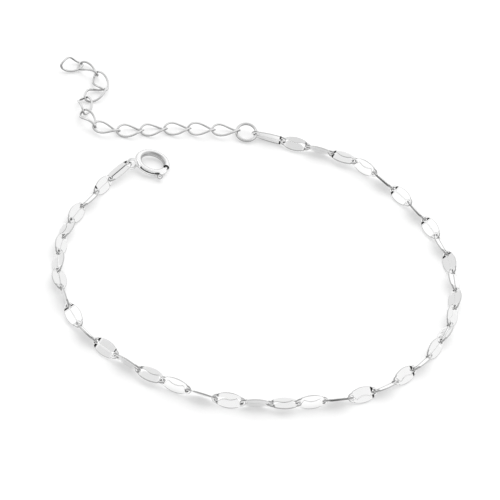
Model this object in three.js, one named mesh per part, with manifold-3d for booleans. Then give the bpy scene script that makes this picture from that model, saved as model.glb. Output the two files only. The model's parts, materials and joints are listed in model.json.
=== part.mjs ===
// A fine bracelet: thirty-nine pressed mirror links and two long connector links in a loop, closed by a
// spring ring clasp on a jump ring, with an extension chain of twisted curb links hanging from that ring.
// The bracelet lies open on the plane z = 0. Millimetres, +Z up, +X to the right, +Y away from the wearer.
// The origin is the middle of the underside of the bounding box.

import * as THREE from 'three';
import { ParametricGeometry } from 'three/addons/geometries/ParametricGeometry.js';
import { mergeVertices } from 'three/addons/utils/BufferGeometryUtils.js';
import Module from 'manifold-3d';

const wasm = await Module();
wasm.setup();

// ---------------------------------------------------------------- driving dimensions

// A pressed link: a round wire loop whose two legs are flattened into mirror plates.
const MIRROR_LINK = {
  length: 4.52, // over all
  wire: 0.34, // wire diameter at the eyes
  eyeRadius: 0.46, // centre line radius of the bow at each end
  width: 2.12, // over both plates, at the middle
  shoulderWidth: 1.46, // over both plates, where they end
  plateHalf: 1.5, // half the length of the plates
  slitHalf: 1.0, // half the length of the slit; past it the plates fork round the eye
  slitEndFill: 0.6, // of the widening from shoulder to middle, how much is reached at the slit's ends
  plateThickness: 0.2,
  plateSquareness: 0.25, // of a plate's section
  slit: 0.05, // between the two plates
};
const CONNECTOR_LINK = {
  ...MIRROR_LINK,
  length: 5.15,
  width: 1.62,
  shoulderWidth: 1.4,
  plateHalf: 1.8,
  slitHalf: 1.3,
};

// A curb link: an oval of round wire, twisted by a little over a quarter turn from one end to the other.
const CURB_LINK = { pitch: 3.54, wire: 0.32, width: 2.42, twist: 99 };
const LINKS_PER_STRETCH = 3; // curb links soldered into one solid

const JUMP_RING = { diameter: 3.37, wire: 0.44, tilt: 18 };

const CLASP = {
  diameter: 5.15, // over the case
  tube: 0.96, // outer diameter of the case's tube
  bore: 0.76, // inner diameter of the case's tube
  tilt: 8, // the eye's side rests higher than the mouth's
  mouth: [-14, 8], // the gap that the bolt closes, in degrees round the case
  slot: [-128, -58], // the thumb knob's slot
  slotWidth: 0.3,
  slotSide: 25, // how far the slot sits above the middle of the outer side, in degrees round the tube
  boltWire: 0.44,
  boltArc: [-140, 5], // the bolt's wire, closed
  knob: -63, // where the thumb knob stands, closed
  knobStem: 0.18,
  knobDiameter: 0.62,
  knobReach: 0.62, // from the case's outer wall to the knob's end
  eyeAngle: -150, // where the eye is soldered
  eyeTurn: -60, // the eye's ring against the case's ring
  eyeDiameter: 1.75,
  eyeWire: 0.36,
};

const PLAY = 0.06; // between two hooked wires
const SOLDER = -0.07; // the overlap where two curb links are soldered

// ---------------------------------------------------------------- how the chain lies

// The route of the mirror links on the plane, from the jump ring's side round to the clasp's:
// every third hook.
const LOOP_ROUTE = [
  { x: 1.6, y: 24.4 },
  { x: 12.4, y: 22.7 },
  { x: 21.2, y: 15.9 },
  { x: 27.4, y: 6.6 },
  { x: 29.4, y: -4.4 },
  { x: 26.7, y: -15.2 },
  { x: 20.0, y: -24.2 },
  { x: 10.2, y: -29.5 },
  { x: -0.7, y: -31.6 },
  { x: -11.4, y: -29.0 },
  { x: -20.5, y: -22.7 },
  { x: -25.2, y: -12.9 },
  { x: -25.3, y: -2.1 },
  { x: -21.5, y: 8.2 },
];
const JUMP_RING_CENTRE = { x: -3.9, y: 24.75 };
const CLASP_CENTRE = { x: -16.2, y: 13.7 };

// How far each link is rolled about the chain's line: 0 lies flat, 90 stands on its edge.
const CONNECTOR_ROLL = { jump: -73, clasp: -7 };
const MIRROR_ROLLS = [
  24, -57, 3, 78, -45, 40, -54, 36, -48, 45,
  -48, 39, -51, 42, -48, 45, -51, 39, -45, 45,
  -75, 6, 63, -60, 39, -81, -15, 60, -42, 51,
  -30, 85, 16, -52, 38, -36, 33, -39, 50,
];

// The extension chain, link by link from the jump ring: heading in plan and slope above the plane, in
// degrees, and the roll of the link's middle.
const EXTENSION = [
  { heading: 199, slope: 3, roll: 2 },
  { heading: 188, slope: -4, roll: -4 },
  { heading: 198, slope: -1, roll: -4 },
  { heading: 201, slope: -2, roll: 2 },
  { heading: 202, slope: 2, roll: -6 },
  { heading: 185, slope: 5, roll: 4 },
  { heading: 127, slope: -1, roll: 17 },
  { heading: 93, slope: -5, roll: 23 },
  { heading: 51, slope: 2, roll: 2 },
  { heading: 119, slope: 2, roll: -17 },
  { heading: 141, slope: -8, roll: 16 },
  { heading: 223, slope: 17, roll: -38 },
];

const rad = THREE.MathUtils.degToRad;

// ---------------------------------------------------------------- shapes

// A closed ring swept through sections. Each section has a centre, a direction out of the loop, a direction
// across it, its half width and half thickness, and a squareness: 1 is round, towards 0 is a flat plate.
function ringGeometry(sections, sides) {
  const place = (u, v, target) => {
    const section = sections[Math.round(u * sections.length) % sections.length];
    const turn = ((Math.round(v * sides) % sides) / sides) * 2 * Math.PI;
    const bulge = (value) => Math.sign(value) * Math.abs(value) ** section.squareness;
    target
      .copy(section.centre)
      .addScaledVector(section.out, section.halfWidth * bulge(Math.cos(turn)))
      .addScaledVector(section.across, section.halfThickness * bulge(Math.sin(turn)));
  };
  return new ParametricGeometry(place, sections.length, sides);
}

const WIRE_SIDES = 6;
const TUBE_SIDES = 8;
const RING_STEPS = 18;
const CASE_STEPS = 20;
const EYE_STEPS = 12;
const CURB_SIDES = 5;
const CURB_STEPS = 10;
const SECTOR_STEPS = 6;
const BOLT_STEPS = 9;
const KNOB_STEPS = { round: 8, down: 6 };
const BOW_STATIONS = 4; // round each end of a link
const BOW_STEP = Math.PI / BOW_STATIONS;

// A pressed link along X. Its legs are flattened into plates that fork round the eyes.
function mirrorLinkGeometry(link) {
  const across = new THREE.Vector3(0, 0, 1);
  const wireRadius = link.wire / 2;
  const bow = (side) => {
    const middle = side * (link.length / 2 - wireRadius - link.eyeRadius);
    return Array.from({ length: BOW_STATIONS }, (_, i) => {
      const turn = (i + 0.5) * BOW_STEP - Math.PI / 2;
      const out = new THREE.Vector3(side * Math.cos(turn), side * Math.sin(turn), 0);
      const centre = out.clone().multiplyScalar(link.eyeRadius / Math.cos(BOW_STEP / 2));
      centre.x += middle;
      return { centre, out, across, halfWidth: wireRadius, halfThickness: wireRadius, squareness: 1 };
    });
  };
  const slitEndWidth = THREE.MathUtils.lerp(link.shoulderWidth, link.width, link.slitEndFill);
  const plateOutline = [
    { x: link.plateHalf, outer: link.shoulderWidth / 2, inner: link.eyeRadius - wireRadius - link.slit },
    { x: link.slitHalf, outer: slitEndWidth / 2, inner: link.slit / 2 },
    { x: 0, outer: link.width / 2, inner: link.slit / 2 },
  ];
  const farHalf = plateOutline.slice(0, -1).reverse();
  const plateStations = [...plateOutline, ...farHalf.map((at) => ({ ...at, x: -at.x }))];
  const plate = (side) =>
    plateStations.map(({ x, outer, inner }) => ({
      centre: new THREE.Vector3(side * x, (side * (outer + inner)) / 2, 0),
      out: new THREE.Vector3(0, side, 0),
      across,
      halfWidth: (outer - inner) / 2,
      halfThickness: link.plateThickness / 2,
      squareness: link.plateSquareness,
    }));
  return ringGeometry([...bow(1), ...plate(1), ...bow(-1), ...plate(-1)], WIRE_SIDES);
}

const TANGENT_STEP = 0.01; // either way along a centre line, in radians, to find its direction

// A curb link along X from its first hooking point at the origin, twisted about X.
function curbLinkGeometry(link, reach) {
  const middle = (link.pitch + reach.end - reach.start) / 2;
  const halfLength = (link.pitch + reach.end + reach.start) / 2;
  const halfWidth = (link.width - link.wire) / 2;
  const centreLine = (turn) => {
    const roll = (-rad(link.twist) / 2) * Math.cos(turn);
    const side = halfWidth * Math.sin(turn);
    const along = middle + halfLength * Math.cos(turn);
    return new THREE.Vector3(along, side * Math.cos(roll), side * Math.sin(roll));
  };
  const heart = new THREE.Vector3(middle, 0, 0);
  const sections = Array.from({ length: CURB_STEPS }, (_, step) => {
    const turn = (step / CURB_STEPS) * 2 * Math.PI;
    const centre = centreLine(turn);
    const along = centreLine(turn + TANGENT_STEP).sub(centreLine(turn - TANGENT_STEP)).normalize();
    const away = centre.clone().sub(heart);
    const out = away.addScaledVector(along, -away.dot(along)).normalize();
    return {
      centre,
      out,
      across: new THREE.Vector3().crossVectors(out, along),
      halfWidth: link.wire / 2,
      halfThickness: link.wire / 2,
      squareness: 1,
    };
  });
  return ringGeometry(sections, CURB_SIDES);
}

const MERGE_DISTANCE = 1e-4;

// The same geometry as a manifold solid, and back, for joins and cuts.
function toSolid(geometry) {
  const shape = geometry.clone();
  shape.deleteAttribute('normal');
  shape.deleteAttribute('uv');
  const merged = mergeVertices(shape, MERGE_DISTANCE);
  return new wasm.Manifold(
    new wasm.Mesh({
      numProp: 3,
      vertProperties: new Float32Array(merged.attributes.position.array),
      triVerts: new Uint32Array(merged.index.array),
    }),
  );
}

function toGeometry(solid) {
  const { numProp, vertProperties, triVerts } = solid.getMesh();
  const geometry = new THREE.BufferGeometry();
  const positions = new Float32Array((vertProperties.length / numProp) * 3);
  for (let i = 0; i < positions.length / 3; i += 1) {
    positions.set(vertProperties.subarray(i * numProp, i * numProp + 3), i * 3);
  }
  geometry.setAttribute('position', new THREE.BufferAttribute(positions, 3));
  geometry.setIndex(new THREE.BufferAttribute(new Uint32Array(triVerts), 1));
  geometry.computeVertexNormals();
  return geometry;
}

// ---------------------------------------------------------------- placing

// The turn that lays a link's X axis along a direction and rolls it about that direction.
function lieAlong(direction, roll) {
  const along = direction.clone().normalize();
  const side = new THREE.Vector3(0, 0, 1).cross(along).normalize();
  const up = new THREE.Vector3().crossVectors(along, side);
  const basis = new THREE.Matrix4().makeBasis(along, side, up);
  return basis.multiply(new THREE.Matrix4().makeRotationX(rad(roll)));
}

function addMesh(name, geometry, material) {
  const mesh = new THREE.Mesh(geometry, material);
  mesh.name = name;
  bracelet.add(mesh);
  return mesh;
}

// A link between two hooks. reach is how far its bows' centre lines go past the hooks.
function layLink(name, geometry, from, to, reach, roll, material) {
  const along = to.clone().sub(from).normalize();
  const mesh = addMesh(name, geometry, material);
  mesh.position.copy(from).lerp(to, 0.5).addScaledVector(along, (reach.end - reach.start) / 2);
  mesh.quaternion.setFromRotationMatrix(lieAlong(along, roll));
}

const mirrorSilver = new THREE.MeshStandardMaterial({ color: 0xf2f2f0, metalness: 1, roughness: 0.12 });
const wireSilver = new THREE.MeshStandardMaterial({ color: 0xe9e9e8, metalness: 1, roughness: 0.2 });

const bracelet = new THREE.Group();

// How high a link's axis lies when the link rests on its edge.
function restHeight({ shape, roll }) {
  const edge = (shape.width / 2) * Math.abs(Math.sin(rad(roll)));
  const face = (shape.plateThickness / 2) * Math.abs(Math.cos(rad(roll)));
  return Math.max(edge + face, shape.wire / 2);
}

// ---------------------------------------------------------------- jump ring

const ringRadius = (JUMP_RING.diameter - JUMP_RING.wire) / 2;
// The connector link, standing on its edge, carries the ring.
const ringHeight = restHeight({ shape: CONNECTOR_LINK, roll: CONNECTOR_ROLL.jump });
const ringCentre = new THREE.Vector3(JUMP_RING_CENTRE.x, JUMP_RING_CENTRE.y, ringHeight);
const ringToHook = new THREE.Vector3(ringRadius, 0, 0);
const jumpRingShape = new THREE.TorusGeometry(ringRadius, JUMP_RING.wire / 2, WIRE_SIDES, RING_STEPS);
const jumpRing = addMesh('jump_ring', jumpRingShape, wireSilver);
jumpRing.position.copy(ringCentre);
jumpRing.rotation.x = rad(JUMP_RING.tilt);

// ---------------------------------------------------------------- where the clasp lies

// The clasp is made about its own centre, with its ring in the XY plane, and tilts about Y.
const caseRadius = (CLASP.diameter - CLASP.tube) / 2;
const eyeRadius = (CLASP.eyeDiameter - CLASP.eyeWire) / 2;
const eyeDistance = caseRadius + CLASP.tube / 2 + eyeRadius;
const claspTurn = new THREE.Matrix4().makeRotationY(rad(CLASP.tilt));
const claspHeight = caseRadius * Math.sin(rad(CLASP.tilt)) + CLASP.tube / 2;
const claspCentre = new THREE.Vector3(CLASP_CENTRE.x, CLASP_CENTRE.y, claspHeight);
const eyeHook = new THREE.Vector3(eyeDistance + eyeRadius, 0, 0)
  .applyAxisAngle(new THREE.Vector3(0, 0, 1), rad(CLASP.eyeAngle))
  .applyMatrix4(claspTurn)
  .add(claspCentre);

// ---------------------------------------------------------------- the loop of links

const route = new THREE.CatmullRomCurve3(LOOP_ROUTE.map(({ x, y }) => new THREE.Vector3(x, y, 0)));
const links = [
  { name: 'connector_link_jump', shape: CONNECTOR_LINK, roll: CONNECTOR_ROLL.jump },
  ...MIRROR_ROLLS.map((roll, i) => ({
    name: `mirror_link_${String(i + 1).padStart(2, '0')}`,
    shape: MIRROR_LINK,
    roll,
  })),
  { name: 'connector_link_clasp', shape: CONNECTOR_LINK, roll: CONNECTOR_ROLL.clasp },
];

// Each hooking point lies as high as the higher of its two links needs to rest on its edge.
const hooks = [ringCentre.clone().add(ringToHook)];
for (let i = 1; i < links.length; i += 1) {
  const height = Math.max(restHeight(links[i - 1]), restHeight(links[i]));
  hooks.push(route.getPoint((i - 1) / MIRROR_ROLLS.length).setZ(height));
}
hooks.push(eyeHook);

const reachPast = (wire, ownWire) => (wire + ownWire) / 2 + PLAY;
links.forEach((link, i) => {
  const reach = { start: (link.shape.wire + PLAY) / 2, end: (link.shape.wire + PLAY) / 2 };
  if (i === 0) reach.start = reachPast(JUMP_RING.wire, link.shape.wire);
  if (i === links.length - 1) reach.end = reachPast(CLASP.eyeWire, link.shape.wire);
  layLink(link.name, mirrorLinkGeometry(link.shape), hooks[i], hooks[i + 1], reach, link.roll, mirrorSilver);
});

// ---------------------------------------------------------------- extension chain

const extensionStart = ringCentre.clone().sub(ringToHook);
let stretchStart = extensionStart.clone();
let stretchSolid = null;
const curbHooks = [extensionStart];
EXTENSION.forEach((row, i) => {
  const from = curbHooks[i];
  const heading = new THREE.Vector3(
    Math.cos(rad(row.heading)) * Math.cos(rad(row.slope)),
    Math.sin(rad(row.heading)) * Math.cos(rad(row.slope)),
    Math.sin(rad(row.slope)),
  );
  const to = from.clone().addScaledVector(heading, CURB_LINK.pitch);
  curbHooks.push(to);
  const first = i % LINKS_PER_STRETCH === 0;
  const last = i % LINKS_PER_STRETCH === LINKS_PER_STRETCH - 1;
  const joined = (CURB_LINK.wire + SOLDER) / 2;
  const loose = (CURB_LINK.wire + PLAY) / 2;
  const reach = { start: first ? loose : joined, end: last ? loose : joined };
  if (i === 0) reach.start = reachPast(JUMP_RING.wire, CURB_LINK.wire);
  const geometry = curbLinkGeometry(CURB_LINK, reach);
  geometry.applyMatrix4(lieAlong(heading, row.roll).setPosition(from.clone().sub(stretchStart)));
  stretchSolid = stretchSolid ? stretchSolid.add(toSolid(geometry)) : toSolid(geometry);
  if (last) {
    const name = `extension_links_${i - LINKS_PER_STRETCH + 2}_to_${i + 1}`;
    addMesh(name, toGeometry(stretchSolid), wireSilver).position.copy(stretchStart);
    stretchStart = to.clone();
    stretchSolid = null;
  }
});

// ---------------------------------------------------------------- spring ring clasp

// A flat sector between two angles, from the inner to the outer radius, thick in Z.
function sectorGeometry([from, to], inner, outer, thickness) {
  const shape = new THREE.Shape();
  shape.absarc(0, 0, outer, rad(from), rad(to), false);
  shape.absarc(0, 0, inner, rad(to), rad(from), true);
  shape.closePath();
  const solid = { depth: thickness, bevelEnabled: false, curveSegments: SECTOR_STEPS };
  const geometry = new THREE.ExtrudeGeometry(shape, solid);
  return geometry.translate(0, 0, -thickness / 2);
}

const POINTS_PER_STEP = 4; // of the curve that the bolt's wire follows

// Round wire bent along the case's ring between two angles.
function arcWireGeometry([from, to], wire) {
  const section = new THREE.Shape();
  for (let i = 0; i < WIRE_SIDES; i += 1) {
    const turn = (i / WIRE_SIDES) * 2 * Math.PI;
    const x = (wire / 2) * Math.cos(turn);
    const y = (wire / 2) * Math.sin(turn);
    if (i === 0) section.moveTo(x, y);
    else section.lineTo(x, y);
  }
  section.closePath();
  const last = POINTS_PER_STEP * BOLT_STEPS;
  const points = Array.from({ length: last + 1 }, (_, i) => {
    const angle = rad(THREE.MathUtils.lerp(from, to, i / last));
    return new THREE.Vector3(caseRadius * Math.cos(angle), caseRadius * Math.sin(angle), 0);
  });
  return new THREE.ExtrudeGeometry(section, {
    steps: BOLT_STEPS,
    extrudePath: new THREE.CatmullRomCurve3(points),
    bevelEnabled: false,
  });
}

const caseOuter = new THREE.TorusGeometry(caseRadius, CLASP.tube / 2, TUBE_SIDES, CASE_STEPS);
const caseInner = new THREE.TorusGeometry(caseRadius, CLASP.bore / 2, TUBE_SIDES, CASE_STEPS);
const cutInner = caseRadius - CLASP.tube;
const cutOuter = caseRadius + CLASP.tube;
const mouthCut = sectorGeometry(CLASP.mouth, cutInner, cutOuter, 2 * CLASP.tube);
const slotRise = (CLASP.tube / 2) * Math.sin(rad(CLASP.slotSide));
const slotCut = sectorGeometry(CLASP.slot, caseRadius, cutOuter, CLASP.slotWidth);
slotCut.translate(0, 0, slotRise);
const claspEye = new THREE.TorusGeometry(eyeRadius, CLASP.eyeWire / 2, WIRE_SIDES, EYE_STEPS);
claspEye.rotateX(rad(CLASP.eyeTurn));
claspEye.translate(eyeDistance, 0, 0);
claspEye.rotateZ(rad(CLASP.eyeAngle));
const claspCase = toSolid(caseOuter)
  .add(toSolid(claspEye))
  .subtract(toSolid(caseInner))
  .subtract(toSolid(mouthCut))
  .subtract(toSolid(slotCut));

const boltWire = arcWireGeometry(CLASP.boltArc, CLASP.boltWire);
const stemLength = CLASP.tube / 2 + CLASP.knobReach;
const knobStem = new THREE.CylinderGeometry(CLASP.knobStem / 2, CLASP.knobStem / 2, stemLength, WIRE_SIDES);
knobStem.rotateZ(-Math.PI / 2);
knobStem.translate(caseRadius + stemLength / 2, 0, slotRise);
const knobButton = new THREE.SphereGeometry(CLASP.knobDiameter / 2, KNOB_STEPS.round, KNOB_STEPS.down);
knobButton.translate(caseRadius + stemLength, 0, slotRise);
const turnToKnob = (geometry) => toSolid(geometry.rotateZ(rad(CLASP.knob)));
const claspBolt = toSolid(boltWire).add(turnToKnob(knobStem)).add(turnToKnob(knobButton));

for (const [name, solid] of [['clasp_case', claspCase], ['clasp_bolt', claspBolt]]) {
  const mesh = addMesh(name, toGeometry(solid), wireSilver);
  mesh.position.copy(claspCentre);
  mesh.quaternion.setFromRotationMatrix(claspTurn);
}

// ---------------------------------------------------------------- origin

const bounds = new THREE.Box3().setFromObject(bracelet, true);
const middle = bounds.getCenter(new THREE.Vector3());
bracelet.position.set(-middle.x, -middle.y, -bounds.min.z);

export default bracelet;
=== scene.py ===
"""The looks of a fine silver bracelet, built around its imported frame.

The bracelet lies open on a pale floor: a loop of pressed mirror links and two connector links, a spring ring
clasp, a jump ring, and an extension chain of twisted curb links. Each class holds one sub-assembly, makes its
fine surfaces where the frame's nodes lie, and dresses them. Sizes are in millimetres until a mesh is made.
"""

import json
import logging
import math
from dataclasses import dataclass, replace
from enum import Enum

import bpy
import numpy as np
from mathutils import Matrix, Vector

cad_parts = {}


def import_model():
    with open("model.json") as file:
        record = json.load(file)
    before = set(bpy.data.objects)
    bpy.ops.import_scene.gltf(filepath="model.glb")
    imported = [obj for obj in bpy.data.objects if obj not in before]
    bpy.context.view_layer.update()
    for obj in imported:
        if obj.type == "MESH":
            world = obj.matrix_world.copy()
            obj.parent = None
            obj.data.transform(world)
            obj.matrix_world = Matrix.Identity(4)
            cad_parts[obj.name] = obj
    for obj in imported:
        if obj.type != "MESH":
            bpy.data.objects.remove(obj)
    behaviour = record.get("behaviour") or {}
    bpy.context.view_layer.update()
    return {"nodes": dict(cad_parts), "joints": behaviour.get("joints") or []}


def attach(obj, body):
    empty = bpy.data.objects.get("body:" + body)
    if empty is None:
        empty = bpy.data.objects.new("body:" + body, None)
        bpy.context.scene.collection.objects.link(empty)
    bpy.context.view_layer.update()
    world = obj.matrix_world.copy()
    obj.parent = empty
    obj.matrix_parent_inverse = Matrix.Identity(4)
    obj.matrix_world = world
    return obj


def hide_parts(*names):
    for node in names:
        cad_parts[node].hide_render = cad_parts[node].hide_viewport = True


MM = 0.001
# The point attribute that stores painted shade: rims painted darker grey, and painted black reflections.
SHADE_ATTRIBUTE = "painted_shade"
CORNER_DIGITS = 4

LOG = logging.getLogger("bracelet")

Array = np.ndarray
Piece = bpy.types.Object
Socket = bpy.types.NodeSocket


class Slot(Enum):
    """The record's material slots, by name; the pieces here take their finishes from the silvers below
    instead.
    """

    MIRROR = "mirror_silver"
    WIRE = "wire_silver"


class Body(Enum):
    """The bodies of the frame."""

    BRACELET = "bracelet"
    BOLT = "bolt"


# ---------------------------------------------------------------- finishes


def grey(tone: float) -> tuple[float, float, float, float]:
    """A grey of a tone, as a colour."""
    return tone, tone, tone, 1.0


@dataclass(frozen=True)
class NodeGraph:
    """A tree of shader nodes, to which nodes are added by the output that is wanted of them."""

    tree: bpy.types.NodeTree

    def join(self, node: bpy.types.Node, inputs: dict) -> None:
        """Links each input of a node that is given a socket, and sets each one that is given a value.

        Args:
            node: The node.
            inputs: A value, or another node's output, for each input by name or number.
        """
        for key, value in inputs.items():
            if isinstance(value, Socket):
                self.tree.links.new(value, node.inputs[key])
            else:
                node.inputs[key].default_value = value

    def add(self, kind: str, output: str | int, inputs: dict, **settings: str) -> Socket:
        """Adds a node, and sets or links its inputs.

        Args:
            kind: The node's type, without the words that all shader nodes begin with.
            output: The name or number of the wanted output.
            inputs: A value, or another node's output, for each input by name or number.
            settings: The node's own settings.

        Returns:
            The wanted output.
        """
        node = self.tree.nodes.new(f"ShaderNode{kind}")
        for name, value in settings.items():
            setattr(node, name, value)
        self.join(node, inputs)
        return node.outputs[output]

    def mix(self, share: Socket, first: Socket | float, second: float) -> Socket:
        """Mixes two values: the first where the share is 0, the second where it is 1."""
        return self.add("Mix", 0, {0: share, 2: first, 3: second})

    def mix_greys(self, share: Socket, first: Socket | tuple, second: tuple) -> Socket:
        """Mixes two colours: the first where the share is 0, the second where it is 1."""
        return self.add("Mix", 2, {0: share, 6: first, 7: second}, data_type="RGBA")

    def combine(self, operation: str, first: Socket, second: Socket | float) -> Socket:
        """Combines two numbers by a mathematical operation."""
        return self.add("Math", "Value", {0: first, 1: second}, operation=operation)

    def dot(self, ray: Socket, axis: Vector) -> Socket:
        """How far a ray reaches along an axis: their dot product."""
        return self.add("VectorMath", "Value", {0: ray, 1: axis}, operation="DOT_PRODUCT")

    def noise(self, place: Socket, size: float, detail: float) -> Socket:
        """A noise in the piece's own axes, from 0 to 1, whose waves have a size in mm."""
        return self.add("TexNoise", "Fac", {"Vector": place, "Scale": 1.0 / (size * MM), "Detail": detail})


@dataclass(frozen=True)
class Silver:
    """A polished silver finish.

    A fine noise breaks the gloss up, and a longer one bends the surface a little, as pressed and tumbled
    silver has. Both are read in the piece's own metres. A surface can store painted shade: 0 is none, 1 is
    a rim painted greyer and rougher, as shade for the dark surroundings that rims reflect, and 2 is a
    painted black reflection.
    """

    name: str
    tone: float
    roughness: float
    roughness_spread: float
    scuff_size: float
    wave_size: float
    wave_depth: float
    # painted shade: the grey that rims are painted, standing in for the dark surroundings they reflect
    rim_shade_tone: float = 0.42
    rim_roughness: float = 0.16
    # painted reflection: the black of the shoulders' painted dark reflections
    dark_reflection_tone: float = 0.01
    dark_reflection_roughness: float = 0.4
    metalness: float = 1.0
    scuff_detail: float = 4.0
    wave_detail: float = 1.0

    def material(self) -> bpy.types.Material:
        """Makes the finish, unless it is made already.

        Fine scuffs vary the gloss of polished silver. Colour and roughness are mixed with the rims' painted
        shade by the stored shade, and both with the painted black reflection's by the shade above 1. The wave
        is a height that bends the normal.

        Returns:
            The material, shared by every piece with this finish.
        """
        made = bpy.data.materials.get(self.name)
        if made is not None:
            return made
        made = bpy.data.materials.new(self.name)
        made.use_nodes = True
        graph = NodeGraph(made.node_tree)
        place = graph.add("TexCoord", "Object", {})
        shaded = graph.add("Attribute", "Fac", {}, attribute_name=SHADE_ATTRIBUTE)
        dark_reflection_share = graph.add("MapRange", "Result", {"Value": shaded, "From Min": 1.0, "From Max": 2.0})
        gloss = graph.add("MapRange", "Result", {
            "Value": graph.noise(place, self.scuff_size, self.scuff_detail),
            "To Min": self.roughness - self.roughness_spread,
            "To Max": self.roughness + self.roughness_spread,
        })
        # painted shade: rims painted a darker grey, standing in for the dark surroundings and shaded floor
        # they reflect
        tone = graph.mix_greys(shaded, grey(self.tone), grey(self.rim_shade_tone))
        roughness = graph.mix(shaded, gloss, self.rim_roughness)
        wave = graph.noise(place, self.wave_size, self.wave_detail)
        depth = {"Strength": 1.0, "Distance": self.wave_depth * MM, "Height": wave}
        graph.join(made.node_tree.nodes["Principled BSDF"], {
            "Metallic": self.metalness,
            # painted reflection: shade above 1 paints the shoulders black, standing in for the dark camera
            # opening they mirror
            "Base Color": graph.mix_greys(dark_reflection_share, tone, grey(self.dark_reflection_tone)),
            "Roughness": graph.mix(dark_reflection_share, roughness, self.dark_reflection_roughness),
            "Normal": graph.add("Bump", "Normal", depth),
        })
        return made


MIRROR_SILVER = Silver("mirror silver", 0.96, 0.07, 0.03, 0.06, 0.7, 0.006)
WIRE_SILVER = Silver("drawn silver wire", 0.88, 0.06, 0.02, 0.05, 0.5, 0.003)
CASE_SILVER = Silver("polished silver tube", 0.96, 0.07, 0.03, 0.08, 0.9, 0.003, metalness=0.85)


@dataclass(frozen=True)
class PaleFloor:
    """A plain matt floor: a pale light table, which glows a little of itself and keeps shadows faint."""

    name: str = "pale floor"
    tone: float = 0.3
    glow: float = 0.5

    def material(self) -> bpy.types.Material:
        """Makes the floor's finish.

        Returns:
            The material.
        """
        made = bpy.data.materials.new(self.name)
        made.use_nodes = True
        NodeGraph(made.node_tree).join(made.node_tree.nodes["Principled BSDF"], {
            "Base Color": grey(self.tone),
            "Roughness": 1.0,
            "Specular IOR Level": 0.0,
            "Emission Color": grey(1.0),
            "Emission Strength": self.glow,
        })
        return made


# ---------------------------------------------------------------- surfaces


def smooth_step(low: float, high: float, value: Array) -> Array:
    """Goes smoothly from 0 at low to 1 at high: 3 t squared less 2 t cubed of the share t between them."""
    share = np.clip((value - low) / (high - low), 0.0, 1.0)
    return share * share * (3.0 - 2.0 * share)


def unit(vectors: Array) -> Array:
    """Scales vectors, along the last axis, to a length of one."""
    return vectors / np.linalg.norm(vectors, axis=-1, keepdims=True)


def closed_grid(columns: int, rows: int) -> Array:
    """The four-sided faces of a grid that closes on itself both ways.

    Args:
        columns: The number of sections, along the first parameter.
        rows: The number of points round a section.

    Returns:
        One row of four vertex numbers for each face.
    """
    i, j = np.meshgrid(np.arange(columns), np.arange(rows), indexing="ij")
    i, j = i.ravel(), j.ravel()
    next_i, next_j = (i + 1) % columns, (j + 1) % rows
    return np.stack([i * rows + j, next_i * rows + j, next_i * rows + next_j, i * rows + next_j], axis=1)


def capped_tube(sections: int, sides: int) -> Array:
    """The faces of a tube of sections, closed at both ends by strips of four-sided faces.

    Args:
        sections: The number of sections.
        sides: The number of points round each, an even number.

    Returns:
        The faces.
    """
    wall = closed_grid(sections, sides)
    wall = wall[wall[:, 0] // sides < sections - 1]
    strip = np.arange(sides // 2 - 1)
    cap = np.stack([strip, strip + 1, sides - 2 - strip, sides - 1 - strip], axis=1)
    return np.concatenate([wall, cap, cap[:, ::-1] + (sections - 1) * sides])


def make_piece(name: str, points: Array, faces: Array, painted_shade: Array | None = None) -> Piece:
    """Puts a closed surface of four-sided faces into a new object at the origin, with its faces outwards.

    Args:
        name: The piece's name.
        points: The vertices, in millimetres.
        faces: Four vertex numbers for each face.
        painted_shade: The painted shade of each vertex, from 0 to 2, or nothing for none.

    Returns:
        The object, linked to the scene.
    """
    corners = points[faces]
    first = np.cross(corners[:, 1] - corners[:, 0], corners[:, 2] - corners[:, 0])
    second = np.cross(corners[:, 2] - corners[:, 0], corners[:, 3] - corners[:, 0])
    volume = (corners[:, 0] * (first + second)).sum()
    ordered = faces if volume > 0 else faces[:, ::-1]
    mesh = bpy.data.meshes.new(name)
    mesh.from_pydata((points * MM).tolist(), [], ordered.tolist())
    mesh.polygons.foreach_set("use_smooth", np.full(len(ordered), True))
    if painted_shade is not None:
        mesh.attributes.new(SHADE_ATTRIBUTE, "FLOAT", "POINT").data.foreach_set("value", painted_shade.astype(np.float32))
    mesh.update()
    piece = bpy.data.objects.new(name, mesh)
    bpy.context.scene.collection.objects.link(piece)
    return piece


def dress(piece: Piece, finish: Silver, node: str, body: Body = Body.BRACELET) -> None:
    """Gives a piece its finish, and puts it into the frame.

    Args:
        piece: The piece.
        finish: Its silver.
        node: The frame's node that it stands for.
        body: The body that it rides on.
    """
    piece.data.materials.append(finish.material())
    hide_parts(node)
    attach(piece, body.value)


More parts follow.
